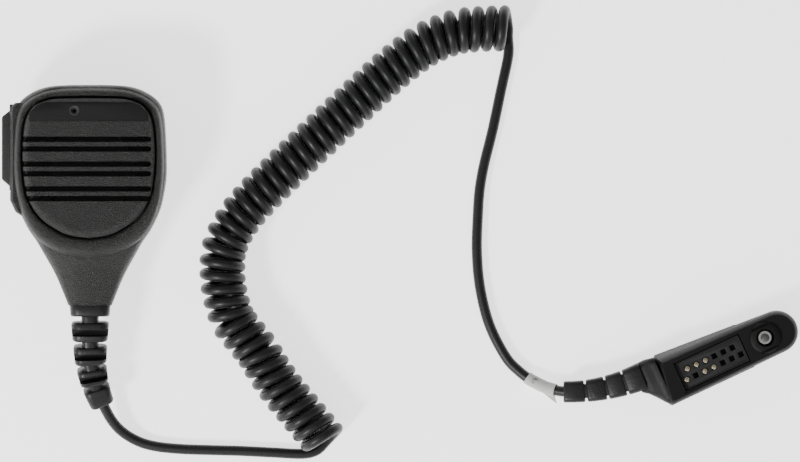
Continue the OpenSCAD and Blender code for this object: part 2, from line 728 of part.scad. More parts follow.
module plug_housing() {
  inner_end = -plug_back_len + 4.1;
  color("#17171a") at_plug() difference() {
    union() {
      translate([0, 0, housing_under]) linear_extrude(plug_z - housing_under)
        plug_outline(0, -plug_back_len, true);
      translate([-plug_back_len, -plug_end_r, cover_z]) cube([plug_back_len + step_u, plug_w, 5]);
      translate([0, 0, housing_under]) cylinder(r = boss_r, h = boss_z - housing_under);
      translate([-plug_back_len, neck_v, neck_z_plug]) rotate([0, -90, 0]) rotate_extrude()
        polygon([[0, -1], [neck_r - 0.2, -1], [neck_r - 0.2, 0], [neck_r + 0.7, 0], [neck_r + 0.3, 0.8],
          [neck_r, 2], [neck_r, 7.8], [0, 7.8]]);
    }
    translate([field_u - carrier_len / 2, -carrier_w / 2, 8]) cube([carrier_len, carrier_w, 20]);
    translate([inner_end, -carrier_w / 2 - 0.6, cover_z - 1])
      cube([-11 - inner_end, carrier_w + 1.2, 12.3 - cover_z + 1]);
    cylinder(r = shank_r + run, h = 30);
    translate([0, 0, well_floor]) cylinder(r = well_r, h = 10);
    translate([-60, neck_v, neck_z_plug]) rotate([0, 90, 0]) cylinder(r = cord_r, h = 24);
    for (p = [[-38.6, -5], [-9.5, 5], [-9.5, -5]])
      translate([p[0], p[1], cover_z - 1]) cylinder(r = 0.8 - bite, h = 2.7);
    for (v = [-1, 1]) translate([2, v * 4.6 - 0.4, boss_z - 0.6]) cube([2.4, 0.8, 2]);
  }
}

module plug_cover() {
  color("#17171a") at_plug() difference() {
    translate([-plug_back_len, -plug_end_r - 0.4, 0]) cube([plug_back_len + step_u, plug_w + 0.8, cover_z]);
    translate([-plug_back_len + 4.1, -5.8, 2]) cube([plug_back_len - 4.1 - 11, 11.6, 10]);
    for (p = [[-38.6, -5], [-9.5, 5], [-9.5, -5]]) translate([p[0], p[1], -1]) {
      cylinder(r = 0.9, h = 10);
      cylinder(r = 1.5, h = 2.4);
    }
    translate([-60, neck_v, neck_z_plug]) rotate([0, 90, 0]) cylinder(r = neck_r, h = 20.5);
  }
}

module cover_screws() {
  color("#8a8d90") at_plug() for (p = [[-38.6, -5], [-9.5, 5], [-9.5, -5]])
    translate([p[0], p[1], 1.4]) screw_up(0.8, 1.4, 1, 6.1);
}

// Places of the contacts: seven in one row, six in the other, half a step along
contact_at = concat(
  [for (i = [-3:3]) [field_u + i * contact_pitch, -row_pitch / 2]],
  [for (i = [-2.5:2.5]) [field_u + i * contact_pitch, row_pitch / 2]]);
// Which of the places hold a contact
fitted = [0, 2, 3, 7, 8, 9];

module plug_carrier() {
  color("#101012") at_plug() difference() {
    union() {
      translate([field_u - carrier_len / 2 + 0.1, -carrier_w / 2 + 0.1, 11])
        cube([carrier_len - 0.2, carrier_w - 0.2, carrier_z - 11]);
      translate([-36.4, -carrier_w / 2 - 0.5, 11]) cube([25.2, carrier_w + 1, 1.2]);
    }
    for (p = contact_at) translate([p[0] - 1, p[1] - 1, 10]) cube([2, 2, 10]);
  }
}

module plug_contacts() {
  color("#d9c48a") at_plug() for (i = fitted) translate([contact_at[i][0], contact_at[i][1], 0]) {
    translate([0, 0, 9.4]) cylinder(r = 0.95, h = carrier_z + 0.2 - 9.4);
    translate([0, 0, carrier_z + 0.2]) intersection() {
      sphere(r = 0.95, $fn = 24);
      translate([-1, -1, 0]) cube([2, 2, 2]);
    }
  }
}

module plug_board() {
  color("#1f5c3a") at_plug() translate([-34.8, -5.2, 8.4]) cube([25.8, 10.4, 1]);
}

module plug_gasket() {
  color("#0c0c0c") at_plug() translate([field_u, 0, carrier_z]) difference() {
    translate([-carrier_len / 2 + 0.1, -carrier_w / 2 + 0.1, 0]) cube([carrier_len - 0.2, carrier_w - 0.2, 0.5]);
    translate([-carrier_len / 2 + 0.7, -carrier_w / 2 + 0.7, -1]) cube([carrier_len - 1.4, carrier_w - 1.4, 3]);
  }
}

module plug_tail() {
  color("#161616") at_plug() translate([-48.4, neck_v, neck_z_plug]) rotate([0, 90, 0])
    cylinder(r = cord_r, h = 12);
}

// ---- captive thumbscrew ----

module screw_ring() {
  color("#b0b3b6") at_plug() translate([0, 0, ring_z]) difference() {
    cylinder(r = 2.4, h = ring_t);
    translate([0, 0, -1]) cylinder(r = groove_r + run, h = 3);
  }
}

// Shank in the housing, groove for the ring, and the tip that goes into the mate
module screw_shaft() {
  from = knob_h - 4;
  color("#c8cacc") at_plug() {
    translate([0, 0, from]) cylinder(r = shank_r, h = ring_z - run - from);
    translate([0, 0, ring_z - run - 0.01]) cylinder(r = groove_r, h = ring_t + 2 * run + 0.02);
    translate([0, 0, ring_z + ring_t + run]) cylinder(r = screw_r, h = boss_z - ring_z - ring_t - run);
  }
}

module screw_knob() {
  rib = 18;
  color("#17171a") at_plug() difference() {
    cylinder(r = knob_r, h = knob_h, $fn = 64);
    translate([0, 0, knob_h - 4]) cylinder(r = shank_r, h = 10);
    for (i = [0:rib - 1]) rotate([0, 0, i * 360 / rib]) translate([knob_r + 0.3, 0, -1])
      cylinder(r = 0.7, h = knob_h - 1);
  }
}

rear_shell();
front_shell();
shell_gasket();
case_screws();
grille_panel();
label_window();
mic_port();
dust_mesh();
speaker_gasket();
speaker_frame();
speaker_magnet();
speaker_cone();
speaker_wires();
circuit_board();
board_screws();
mic_capsule();
mic_holder();
ptt_paddle();
ptt_carrier();
ptt_plunger();
ptt_switch();
ptt_frame();
ptt_gasket();
clip_base();
clip_screw();
clip_washer();
clip_jaw();
clip_pin();
clip_spring();
head_boot();
cord_tail();
cord_clamp();
clamp_screws();
cord_wires();
cord_lead_head();
cord_coil();
cord_lead_plug();
cord_label();
plug_boot();
plug_housing();
plug_cover();
plug_carrier();
plug_contacts();
plug_board();
plug_gasket();
plug_tail();
cover_screws();
screw_ring();
screw_shaft();
screw_knob();
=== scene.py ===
import math
import bpy
import bmesh
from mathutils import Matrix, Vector


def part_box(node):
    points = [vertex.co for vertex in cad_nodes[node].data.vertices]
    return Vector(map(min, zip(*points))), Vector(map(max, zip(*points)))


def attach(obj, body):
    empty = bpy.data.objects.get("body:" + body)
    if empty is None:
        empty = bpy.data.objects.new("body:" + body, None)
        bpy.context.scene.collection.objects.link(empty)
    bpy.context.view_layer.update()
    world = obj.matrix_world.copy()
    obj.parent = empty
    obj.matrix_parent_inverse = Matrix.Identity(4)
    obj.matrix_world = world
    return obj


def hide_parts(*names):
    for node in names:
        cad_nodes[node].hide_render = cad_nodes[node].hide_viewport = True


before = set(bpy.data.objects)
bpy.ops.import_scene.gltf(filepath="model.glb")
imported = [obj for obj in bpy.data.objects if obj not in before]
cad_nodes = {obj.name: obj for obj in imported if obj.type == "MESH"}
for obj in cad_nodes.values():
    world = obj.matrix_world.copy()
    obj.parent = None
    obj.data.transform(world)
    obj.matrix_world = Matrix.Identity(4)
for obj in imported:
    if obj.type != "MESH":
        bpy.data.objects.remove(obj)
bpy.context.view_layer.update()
MM = 0.001
HEAD_X = 1.9  # the handset's middle line, in millimetres like every size below

# ---- Camera ----
# A straight look down from three metres, framing the whole set.
camera_data = bpy.data.cameras.new("Camera")
camera_data.lens = 360
camera_data.sensor_width = 36
camera = bpy.data.objects.new("Camera", camera_data)
camera.location = (0.1174, -0.0134, 3)
bpy.context.collection.objects.link(camera)
bpy.context.scene.camera = camera


# ---- Cord ----
# One PVC-jacketed cord of 4 mm: a straight lead, a left-handed retractile coil of 47 turns, and a
# second straight lead. It starts inside the handset's strain relief and ends in the plug's.
def add_object(name, mesh):
    obj = bpy.data.objects.new(name, mesh)
    bpy.context.collection.objects.link(obj)
    return obj


def add_mesh(name, points, edges=(), faces=()):
    """A mesh object from points in millimetres, its faces turned outward."""
    mesh = bpy.data.meshes.new(name)
    mesh.from_pydata([Vector(p) * MM for p in points], list(edges), [tuple(f) for f in faces])
    if faces:
        work = bmesh.new()
        work.from_mesh(mesh)
        bmesh.ops.recalc_face_normals(work, faces=work.faces)
        work.to_mesh(mesh)
        work.free()
    mesh.update()
    return add_object(name, mesh)


def painted(obj, material):
    obj.data.materials.clear()
    obj.data.materials.append(material)


def smooth(obj, angle=35):
    """Smooth shading, with sharp edges where faces meet at more than this angle."""
    mesh = obj.data
    mesh.polygons.foreach_set("use_smooth", [True] * len(mesh.polygons))
    mesh.set_sharp_from_angle(angle=math.radians(angle))
    return obj


def settle(obj):
    """Turns the object's modifiers into its own mesh and removes them."""
    bpy.context.view_layer.update()
    made = bpy.data.meshes.new_from_object(obj.evaluated_get(bpy.context.evaluated_depsgraph_get()))
    obj.modifiers.clear()
    old = obj.data
    obj.data = made
    made.name = obj.name
    bpy.data.meshes.remove(old)
    return obj


def curve_through(points, per_span):
    """A smooth line through points, as a Catmull-Rom spline with this many steps in each span."""
    pts = [Vector(p) for p in points]
    pts = [pts[0] * 2 - pts[1]] + pts + [pts[-1] * 2 - pts[-2]]
    line = []
    for a, b, c, d in zip(pts, pts[1:], pts[2:], pts[3:]):
        for step in range(per_span):
            t = step / per_span
            line.append(0.5 * (2 * b + (c - a) * t + (2 * a - 5 * b + 4 * c - d) * t * t
                               + (3 * b - a - 3 * c + d) * t * t * t))
    return line + [pts[-2]]


def even_steps(line, gap):
    """The same line with its points about this far apart."""
    total = sum((b - a).length for a, b in zip(line, line[1:]))
    count = max(2, round(total / gap))
    made, along, goal = [line[0]], 0.0, total / count
    for a, b in zip(line, line[1:]):
        span = (b - a).length
        while len(made) < count and along + span >= goal:
            made.append(a.lerp(b, (goal - along) / span))
            goal += total / count
        along += span
    return made + [line[-1]]


def boot_turn(s):
    return math.radians(24) * max(0, s - 17.5) / 22


def boot_fall(s):
    return 0 if s < 5 else math.radians(4 + 24 * (s - 5) / 34.5)


def boot_heading(s):
    turn, fall = boot_turn(s), boot_fall(s)
    return Vector((math.sin(turn) * math.cos(fall), -math.cos(turn) * math.cos(fall), -math.sin(fall)))


BOOT_LENGTH = 39.5
BOOT_Z = 18.25
BOOT_STEP = 0.5
boot_line = [Vector((HEAD_X, -40.4, BOOT_Z))]
for step in range(79):
    boot_line.append(boot_line[-1] + boot_heading((step + 0.5) * BOOT_STEP) * BOOT_STEP)
boot_end = boot_line[-1]
CORD_R = 2
COIL_R = 6.75
TURNS = 47
coil_guide = even_steps(curve_through([
    (89.6, -92.2, 8.75), (85.9, -87.7, 8.75), (79.4, -80, 8.75), (73.6, -72.9, 8.75),
    (68.3, -65.3, 8.75), (64.1, -58.4, 8.75), (58.5, -51.5, 8.75), (54.6, -46, 8.75),
    (51.9, -36.8, 8.75), (51, -28.6, 8.75), (51.7, -19.7, 8.75), (55.8, -10.8, 8.75),
    (62.2, -2.6, 8.75), (72, 7.4, 8.75), (85.1, 20, 8.75), (98.2, 32.3, 8.75),
    (111.9, 44.9, 8.75), (122.6, 53.5, 8.75), (129.8, 57.8, 8.75), (138.8, 61.1, 8.75),
    (147.3, 62.1, 8.75), (157.9, 62.4, 8.75)], 12), 0.17)
helix = []
for i, centre in enumerate(coil_guide):
    along = i / (len(coil_guide) - 1)
    ahead = coil_guide[min(i + 1, len(coil_guide) - 1)] - coil_guide[max(i - 1, 0)]
    left = Vector((0, 0, 1)).cross(ahead).normalized()
    drift = 0.35 * math.sin(along * 9) * along * (1 - along)
    angle = math.radians(180) + 2 * math.pi * (TURNS * along + drift)
    helix.append(centre + COIL_R * (math.cos(angle) * Vector((0, 0, 1)) + math.sin(angle) * left))
lead_a = even_steps(curve_through([
    boot_end, (9.4, -84, 6), (13.4, -88.6, 3.8), (19.3, -92.2, 2.3), (25.8, -94.1, 2),
    (35.2, -95.1, 2), (46.3, -95.5, 2), (57.4, -95.8, 2), (69.6, -96.4, 2), (81, -96.9, 2),
    (86.4, -95.5, 2), helix[0]], 8), 1.5)
lead_b = even_steps(curve_through([
    helix[-1], (157.8, 59, 2), (158, 52.5, 2), (155.3, 39.6, 2), (152.1, 24.4, 2), (149, 11.9, 2),
    (147.3, 2.5, 2), (146.6, -6.8, 2), (146.2, -20.7, 2), (147.4, -34.5, 2), (150.9, -48.5, 2),
    (157, -60.5, 2), (162, -65.9, 2), (166.6, -69.3, 2.4), (171.8, -71.9, 3.2), (176, -73.1, 4.4),
    (179.8, -73.6, 6)], 8), 1.5)
PLUG_TURN = math.radians(25)
PLUG_AT = Vector((253.6, -53.2, 0))
U = Vector((math.cos(PLUG_TURN), math.sin(PLUG_TURN), 0))
V = Vector((-U.y, U.x, 0))
PLUG_BOOT_TURN = math.radians(22)
PLUG_BOOT_STEPS = 53
plug_line = [Vector((179.8, -73.6, 6))]
for step in range(PLUG_BOOT_STEPS):
    turn = PLUG_BOOT_TURN * (step + 0.5) / PLUG_BOOT_STEPS
    plug_line.append(plug_line[-1] + BOOT_STEP * Vector((math.cos(turn), math.sin(turn), 0.098)))
cord_line = lead_a[:-1] + helix + lead_b[1:] + plug_line[2::2]


def new_tree(name, sockets):
    """An empty geometry node tree with a Geometry socket each way and these named inputs."""
    tree = bpy.data.node_groups.new(name, "GeometryNodeTree")
    tree.interface.new_socket("Geometry", in_out="OUTPUT", socket_type="NodeSocketGeometry")
    tree.interface.new_socket("Geometry", in_out="INPUT", socket_type="NodeSocketGeometry")
    for label, kind in sockets:
        tree.interface.new_socket(label, in_out="INPUT", socket_type=kind)
    return tree, tree.nodes.new("NodeGroupInput"), tree.nodes.new("NodeGroupOutput")


def run_tree(obj, tree, **values):
    """Runs a geometry node tree on the object with its inputs set by name, and keeps the result."""
    modifier = obj.modifiers.new(tree.name, "NODES")
    modifier.node_group = tree
    for item in tree.interface.items_tree:
        if item.in_out == "INPUT" and item.name in values:
            modifier[item.identifier] = values[item.name]
    return settle(obj)


sweep, start, end = new_tree("Swept cord", [
    ("Radius", "NodeSocketFloat"), ("Sides", "NodeSocketInt"), ("Material", "NodeSocketMaterial")])
line_node = sweep.nodes.new("GeometryNodeMeshToCurve")
ring_node = sweep.nodes.new("GeometryNodeCurvePrimitiveCircle")
tube_node = sweep.nodes.new("GeometryNodeCurveToMesh")
tube_node.inputs["Fill Caps"].default_value = True
real_node = sweep.nodes.new("GeometryNodeRealizeInstances")
paint_node = sweep.nodes.new("GeometryNodeSetMaterial")
sweep.links.new(start.outputs["Geometry"], line_node.inputs["Mesh"])
sweep.links.new(start.outputs["Radius"], ring_node.inputs["Radius"])
sweep.links.new(start.outputs["Sides"], ring_node.inputs["Resolution"])
sweep.links.new(line_node.outputs["Curve"], tube_node.inputs["Curve"])
sweep.links.new(ring_node.outputs["Curve"], tube_node.inputs["Profile Curve"])
sweep.links.new(tube_node.outputs["Mesh"], real_node.inputs["Geometry"])
sweep.links.new(real_node.outputs["Geometry"], paint_node.inputs["Geometry"])
sweep.links.new(start.outputs["Material"], paint_node.inputs["Material"])
sweep.links.new(paint_node.outputs["Geometry"], end.inputs["Geometry"])


def grain_group():
    """Moulded grain: a fine pebble and a slow variation, as two masks and a bumped normal."""
    group = bpy.data.node_groups.new("Moulded grain", "ShaderNodeTree")
    for label in ("Scale", "Depth"):
        group.interface.new_socket(label, in_out="INPUT", socket_type="NodeSocketFloat")
    for label in ("Pebble", "Slow"):
        group.interface.new_socket(label, in_out="OUTPUT", socket_type="NodeSocketFloat")
    group.interface.new_socket("Normal", in_out="OUTPUT", socket_type="NodeSocketVector")
    head = group.nodes.new("NodeGroupInput")
    tail = group.nodes.new("NodeGroupOutput")
    place = group.nodes.new("ShaderNodeTexCoord")
    cells = group.nodes.new("ShaderNodeTexVoronoi")
    cells.feature = "SMOOTH_F1"
    cells.inputs["Smoothness"].default_value = 0.6
    noise = group.nodes.new("ShaderNodeTexNoise")
    noise.inputs["Detail"].default_value = 3
    slow = group.nodes.new("ShaderNodeTexNoise")
    slow.inputs["Scale"].default_value = 60
    mix = group.nodes.new("ShaderNodeMath")
    mix.operation = "MULTIPLY_ADD"
    mix.inputs[1].default_value = 0.6
    bump = group.nodes.new("ShaderNodeBump")
    group.links.new(place.outputs["Object"], cells.inputs["Vector"])
    group.links.new(place.outputs["Object"], noise.inputs["Vector"])
    group.links.new(place.outputs["Object"], slow.inputs["Vector"])
    group.links.new(head.outputs["Scale"], cells.inputs["Scale"])
    group.links.new(head.outputs["Scale"], noise.inputs["Scale"])
    group.links.new(cells.outputs["Distance"], mix.inputs[0])
    group.links.new(noise.outputs["Fac"], mix.inputs[2])
    group.links.new(mix.outputs[0], bump.inputs["Height"])
    group.links.new(head.outputs["Depth"], bump.inputs["Distance"])
    group.links.new(mix.outputs[0], tail.inputs["Pebble"])
    group.links.new(slow.outputs["Fac"], tail.inputs["Slow"])
    group.links.new(bump.outputs["Normal"], tail.inputs["Normal"])
    return group


moulded_grain = grain_group()


def finish_of(name, dark, light, rough, scale, depth, metal=0.0, gloss=0.3, slow=0.5):
    """A moulded, cast or plated finish: two tones mixed by the grain, and a varied roughness."""
    material = bpy.data.materials.new(name)
    material.use_nodes = True
    tree = material.node_tree
    shader = tree.nodes["Principled BSDF"]
    shader.inputs["Metallic"].default_value = metal
    shader.inputs["Specular IOR Level"].default_value = gloss
    grain = tree.nodes.new("ShaderNodeGroup")
    grain.node_tree = moulded_grain
    grain.inputs["Scale"].default_value = scale
    grain.inputs["Depth"].default_value = depth * MM
    both = tree.nodes.new("ShaderNodeMath")
    both.operation = "MULTIPLY_ADD"
    both.inputs[1].default_value = slow
    tone = tree.nodes.new("ShaderNodeValToRGB")
    tone.color_ramp.elements[0].position = 0.45
    tone.color_ramp.elements[0].color = (*dark, 1)
    tone.color_ramp.elements[1].position = 1.15 if slow > 0.9 else 1.0
    tone.color_ramp.elements[1].color = (*light, 1)
    spread = tree.nodes.new("ShaderNodeMapRange")
    spread.inputs["From Min"].default_value = 0.3
    spread.inputs["From Max"].default_value = 1.2
    spread.inputs["To Min"].default_value = rough - 0.06
    spread.inputs["To Max"].default_value = rough + 0.08
    tree.links.new(grain.outputs["Slow"], both.inputs[0])
    tree.links.new(grain.outputs["Pebble"], both.inputs[2])
    tree.links.new(both.outputs[0], tone.inputs["Fac"])
    tree.links.new(both.outputs[0], spread.inputs["Value"])
    tree.links.new(tone.outputs["Color"], shader.inputs["Base Color"])
    tree.links.new(spread.outputs["Result"], shader.inputs["Roughness"])
    tree.links.new(grain.outputs["Normal"], shader.inputs["Normal"])
    return material


jacket = finish_of("Cord jacket", (0.003, 0.003, 0.0032), (0.008, 0.008, 0.0085), 0.38, 900, 0.02)
cord = add_mesh("Cord", cord_line, edges=[(i, i + 1) for i in range(len(cord_line) - 1)])
run_tree(cord, sweep, Radius=CORD_R * MM, Sides=14, Material=jacket)
smooth(cord, 60)
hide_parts("cord_lead_head", "cord_coil", "cord_lead_plug")
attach(cord, "handset_and_cord")

# ---- Case ----
# Two injection-moulded shells with a parting line round the waist. The front one carries a
# rounded bezel round the grille panel, and both share the opening for the talk paddle.
CASE_SECTIONS = [  # place along, half width, rise of the back, drop of the front
    (40.2, 8, 4.5, 5), (39.9, 13, 3, 3.4), (39.3, 16.6, 1.8, 2.2), (38, 20.2, 1, 1.5),
    (35.7, 24, 0.5, 1.1), (32.9, 26.4, 0.1, 1), (29, 27.6, 0, 1), (22, 28.2, 0, 1),
    (14, 28.5, 0, 1), (6, 28.4, 0, 1), (-2.7, 26.9, 0, 1), (-8, 25, 0, 1),
    (-13, 22.4, 0, 1.1), (-17, 19.6, 0.1, 1.5), (-21, 17.3, 0.3, 2.4), (-27, 13.9, 0.7, 4.2),
    (-31, 11.9, 1, 5.2), (-35, 10.2, 1.4, 6.2), (-40.4, 8, 2, 7.5)]
BEZEL = [(0, 39.9), (10, 39.6), (17.4, 38.2), (23.7, 34.5), (26.8, 28.6), (27.8, 14), (27.4, 4),
         (25.9, -4), (23, -11.3), (18.2, -17.3), (9.8, -21.9), (0, -23.4)]
PANEL = [(0, 35.9), (8, 35.8), (14.5, 35.3), (20.4, 32.6), (23.6, 26.6), (24.5, 14), (23.4, 2),
         (21.2, -4), (17.8, -8.6), (13.6, -11.9), (7.6, -14.9), (0, -16.1)]
PARTING_Z = 20
CASE_STRETCH = 1.018
WALL = 2


def case_ring(section, inset, lift, part, crown):
    """The case's outline across one section: the lower half, or the upper half with a crowned top."""
    along, half, rise, drop = section
    half = max(half - min(inset, WALL), 0.6)
    low = 9.5 + rise + inset
    high = 32.5 - drop - lift - inset
    corner = min(max(4.5 - inset, 1), half * 0.9, (high - PARTING_Z) * 0.55)
    if part == "lower":
        rim = PARTING_Z + (inset > 0)
        left = [(-half, rim)] + [(corner - half + corner * math.cos(a), low + corner + corner * math.sin(a))
                                 for a in [math.radians(180 + 90 * i / 8) for i in range(9)]]
    else:
        rim = PARTING_Z - (inset > 0)
        slope = math.radians(crown)
        reach = corner - half - corner * math.sin(slope)
        fall = abs(reach) * math.tan(slope) / 2
        base = high - fall - corner * math.cos(slope)
        left = [(-half, rim)]
        for i in range(9):
            a = math.pi - (math.pi / 2 - slope) * i / 8
            left.append((corner - half + corner * math.cos(a), base + corner * math.sin(a)))
        left += [(reach * (1 - i / 6), high - fall * (1 - i / 6) ** 2) for i in range(1, 6)]
    right = [(-x, z) for x, z in reversed(left)]
    middle = [(0, low)] if part == "lower" else [(0, high)]
    return [(HEAD_X + x, along, z) for x, z in left + middle + right]


def skin(name, rings, loop=False):
    """A closed mesh over rings of equal size: ends capped, or the last ring joined to the first."""
    size = len(rings[0])
    faces = []
    pairs = list(zip(range(len(rings)), range(1, len(rings))))
    if loop:
        pairs.append((len(rings) - 1, 0))
    else:
        faces.append(range(size))
        faces.append(range((len(rings) - 1) * size, len(rings) * size))
    for a, b in pairs:
        for i in range(size):
            j = (i + 1) % size
            faces.append((a * size + i, a * size + j, b * size + j, b * size + i))
    return add_mesh(name, [p for ring in rings for p in ring], faces=faces)


def cut(obj, tool, operation="DIFFERENCE"):
    """Cuts, joins or crosses the object with a tool, which is used up."""
    modifier = obj.modifiers.new("Cut", "BOOLEAN")
    modifier.object = tool
    modifier.operation = operation
    modifier.solver = "EXACT"
    settle(obj)
    bpy.data.objects.remove(tool)
    return obj


def block(low, high):
    """A plain box between two corners."""
    (a, b, c), (d, e, f) = low, high
    base = [(a, b), (d, b), (d, e), (a, e)]
    return skin("Tool", [[(x, y, z) for x, y in base] for z in (c, f)])


def rod(centre, radius, low, high, top=None, sides=32):
    """An upright round bar, or a cone where the top radius is given."""
    rings = []
    for r, z in ((radius, low), (radius if top is None else top, high)):
        rings.append([(centre[0] + r * math.cos(2 * math.pi * i / sides),
                       centre[1] + r * math.sin(2 * math.pi * i / sides), z) for i in range(sides)])
    return skin("Tool", rings)


def case_half(part, lift_by, inset):
    """One half of the case: sections joined by smooth curves along the case."""
    line = curve_through([(s[0], s[1], s[2]) for s in CASE_SECTIONS], 5)
    drop = curve_through([(s[3], 0, 0) for s in CASE_SECTIONS], 5)
    rings = []
    for place, fall in zip(line, drop):
        along = place.x
        neck = min(1, max(0, (-10 - along) / 18))
        if inset and abs(along) > 40.4 - inset:
            continue
        rings.append(case_ring((along, place.y, place.z, fall.x), inset, lift_by, part,
                               4 + 18 * neck))
    rings = [[(x, y * CASE_STRETCH, z) for x, y, z in ring] for ring in rings]
    return skin("Case half", rings)


def half_outline(points, grow=0.0, steps=8):
    """The whole outline of a part that is the same on both sides, grown outward by this much."""
    right = curve_through([(x, y, 0) for x, y in points], steps)
    right[0].x = 0
    right[-1].x = 0
    whole = right + [Vector((-p.x, p.y, 0)) for p in reversed(right[1:-1])]
    made = []
    for i, p in enumerate(whole):
        side = whole[(i + 1) % len(whole)] - whole[i - 1]
        out = Vector((-side.y, side.x, 0)).normalized()
        made.append((HEAD_X + p.x + out.x * grow, p.y + out.y * grow))
    return made


shell_black = finish_of("Case plastic", (0.003, 0.003, 0.003), (0.012, 0.0115, 0.0105), 0.36, 2300, 0.5,
                        gloss=0.4)
rear_shell = case_half("lower", 0, 0)
front_shell = case_half("upper", 0.2, 0)
SWELLING = [(-24, -8.6), (-27.4, -6.4), (-29.5, -2), (-29.5, 32.6), (-27.5, 34.3), (-24, 34.3)]
for shell, levels in ((rear_shell, ((1.2, 11.3), (0.2, 12.4), (0, 13.4), (0, PARTING_Z))),
                      (front_shell, ((0, PARTING_Z), (0, 26.6), (0.25, 27.8), (1.2, 28.7)))):
    cut(shell, skin("Swelling", [[(HEAD_X + x + shrink, y, z) for x, y in SWELLING]
                                 for shrink, z in levels]), "UNION")
cut(front_shell, case_half("upper", 0.2, 3))
cut(rear_shell, case_half("lower", 0, WALL))
for shell in (rear_shell, front_shell):
    cut(shell, block((HEAD_X - 31, 1.3, 12.5), (HEAD_X - 24.5, 34, 27.5)))
    cut(shell, skin("Tool", [[(HEAD_X + 5 * math.cos(math.radians(15 * i)), y,
                               BOOT_Z + 5 * math.sin(math.radians(15 * i))) for i in range(24)]
                             for y in (-42, -36)]))
recess = half_outline(PANEL, 0.5)
cut(front_shell, skin("Tool", [[(x, y, z) for x, y in recess] for z in (29.5, 36)]))
cut(front_shell, rod((HEAD_X, 9), 16.5, 18, 36, sides=64))
SCREW_PLACES = [(HEAD_X + x, y) for x, y in ((21, 32.5), (-21, 32.5), (15, -15), (-15, -15))]
for place in SCREW_PLACES:
    cut(rear_shell, rod(place, 2.1, 5, 11.4))
bezel_out = half_outline(BEZEL)
bezel_in = half_outline(PANEL, 0.5)
BEZEL_PROFILE = [(0, 28), (0, 29), (0.04, 29.9), (0.1, 30.7), (0.2, 31.5), (0.34, 32.1),
                 (0.5, 32.4), (0.68, 32.45), (0.84, 32.3), (0.94, 32.0), (1, 31.5), (1, 28)]
bezel = skin("Bezel", [[(a[0] + (b[0] - a[0]) * t, a[1] + (b[1] - a[1]) * t, z)
                        for a, b in zip(bezel_out, bezel_in)] for t, z in BEZEL_PROFILE], loop=True)
cut(front_shell, bezel, "UNION")
for shell, name in ((rear_shell, "rear_shell"), (front_shell, "front_shell")):
    shell.name = name.replace("_", " ").capitalize().replace(" ", "_")
    painted(shell, shell_black)
    smooth(shell, 32)
    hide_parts(name)
    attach(shell, "handset_and_cord")

# ---- Case screws ----
# Four pan-head screws sunk in the back, driven through the rear shell into bosses of the front.
screw_steel = finish_of("Zinc screw", (0.22, 0.22, 0.21), (0.5, 0.49, 0.47), 0.3, 2600, 0.01, metal=1)


def turned(name, profile, sides=32, centre=(0, 0)):
    """A turned part from a profile of radius and height, closed on its axis at both ends."""
    rings = [[(centre[0] + r * math.cos(2 * math.pi * i / sides),
               centre[1] + r * math.sin(2 * math.pi * i / sides), z) for i in range(sides)]
             for r, z in profile]
    return skin(name, rings)


repeat, start, end = new_tree("Repeated part", [
    ("Part", "NodeSocketObject"), ("Material", "NodeSocketMaterial")])
part_node = repeat.nodes.new("GeometryNodeObjectInfo")
copies_node = repeat.nodes.new("GeometryNodeInstanceOnPoints")
real_node = repeat.nodes.new("GeometryNodeRealizeInstances")
paint_node = repeat.nodes.new("GeometryNodeSetMaterial")
repeat.links.new(start.outputs["Part"], part_node.inputs["Object"])
repeat.links.new(start.outputs["Geometry"], copies_node.inputs["Points"])
repeat.links.new(part_node.outputs["Geometry"], copies_node.inputs["Instance"])
repeat.links.new(copies_node.outputs["Instances"], real_node.inputs["Geometry"])
repeat.links.new(real_node.outputs["Geometry"], paint_node.inputs["Geometry"])
repeat.links.new(start.outputs["Material"], paint_node.inputs["Material"])
repeat.links.new(paint_node.outputs["Geometry"], end.inputs["Geometry"])


def repeated(name, part, places, material):
    """Copies of one part at each place, as a single piece. The part itself is used up."""
    piece = add_mesh(name, places)
    run_tree(piece, repeat, Part=part, Material=material)
    bpy.data.objects.remove(part)
    return smooth(piece)


case_screw = turned("Screw", [(0.3, -1.5), (1.5, -1.5), (1.8, -1.2), (1.9, -0.6), (1.9, 0),
                              (0.98, 0), (0.98, 10.8), (0.5, 11.4)])
cut(case_screw, block((-1.2, -0.22, -2), (1.2, 0.22, -0.8)))
cut(case_screw, block((-0.22, -1.2, -2), (0.22, 1.2, -0.8)))
case_screws = repeated("Shell_screws", case_screw, [(x, y, 11.4) for x, y in SCREW_PLACES], screw_steel)
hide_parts("case_screws")
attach(case_screws, "handset_and_cord")

# ---- Grille panel ----
# A separate moulded cover in the bezel: rounded edge, three pairs of long speaker slots that run
# out through its left side, and a pocket at the top for the label window.
panel_black = finish_of("Panel plastic", (0.003, 0.003, 0.003), (0.012, 0.0115, 0.011), 0.36, 2300, 0.5,
                        gloss=0.4)
PANEL_PROFILE = [(0, 29.55), (0, 33.1), (-0.12, 33.45), (-0.4, 33.8), (-0.8, 34.1), (-1.3, 34.4),
                 (-1.9, 34.62), (-2.6, 34.76), (-3.4, 34.8)]
panel = skin("Grille_panel", [[(x, y, z) for x, y in half_outline(PANEL, grow)]
                              for grow, z in PANEL_PROFILE])
SLOT_ROWS = (20.6, 17, 11.4, 7.8, 2.2, -1.4)
for row in SLOT_ROWS:
    ends = [(HEAD_X - 25.5, row - 1), (HEAD_X + 22.4, row - 1), (HEAD_X + 23.2, row - 0.5),
            (HEAD_X + 23.2, row + 0.5), (HEAD_X + 22.4, row + 1), (HEAD_X - 25.5, row + 1)]
    cut(panel, skin("Tool", [[(x, y, z) for x, y in ends] for z in (30.5, 36)]))
    reach = math.sqrt(17.4 ** 2 - (row - 9) ** 2) - 0.6
    cut(panel, block((HEAD_X - reach, row - 0.8, 28), (HEAD_X + reach, row + 0.8, 34)))
